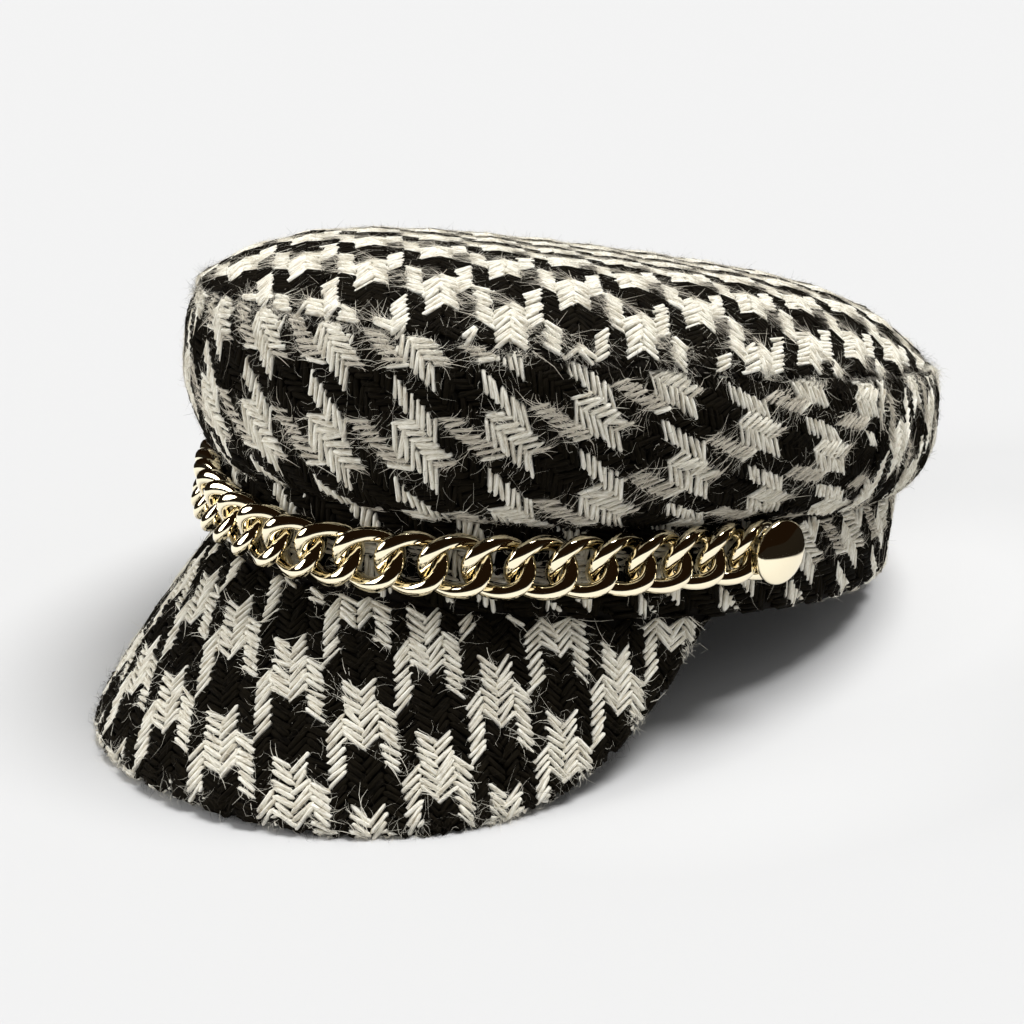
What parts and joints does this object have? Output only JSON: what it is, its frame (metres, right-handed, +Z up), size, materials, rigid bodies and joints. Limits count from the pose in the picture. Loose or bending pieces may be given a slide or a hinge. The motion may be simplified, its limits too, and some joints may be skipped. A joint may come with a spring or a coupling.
{
  "type": "cadet cap",
  "caption": "Soft cadet cap in houndstooth tweed with a domed crown, upright band, steep front peak and a curb chain held by two buttons over the front.",
  "frame": {"origin": "on the floor under the middle of the cap's bounding box", "axes": "+Z up from the floor the cap stands on, -Y the way the peak points, +X the wearer's left"},
  "size_m": [0.178, 0.2684, 0.1116],
  "materials": {
    "tweed": "chunky cream and black houndstooth wool tweed, hairy",
    "gold": "pale gold, highly polished"
  },
  "bodies": {
    "root": {"crown_top": "tweed", "crown_side_front": "tweed", "crown_side_back": "tweed", "band": "tweed", "peak": "tweed", "chain_link_01": "gold", "chain_link_02": "gold", "chain_link_03": "gold", "chain_link_04": "gold", "chain_link_05": "gold", "chain_link_06": "gold", "chain_link_07": "gold", "chain_link_08": "gold", "chain_link_09": "gold", "chain_link_10": "gold", "chain_link_11": "gold", "chain_link_12": "gold", "chain_link_13": "gold", "chain_link_14": "gold", "chain_link_15": "gold", "chain_link_16": "gold", "chain_link_17": "gold", "chain_link_18": "gold", "chain_link_19": "gold", "chain_link_20": "gold", "chain_link_21": "gold", "chain_link_22": "gold", "chain_link_23": "gold", "chain_link_24": "gold", "chain_link_25": "gold", "button_right": "gold", "button_left": "gold"}
  },
  "joints": []
}
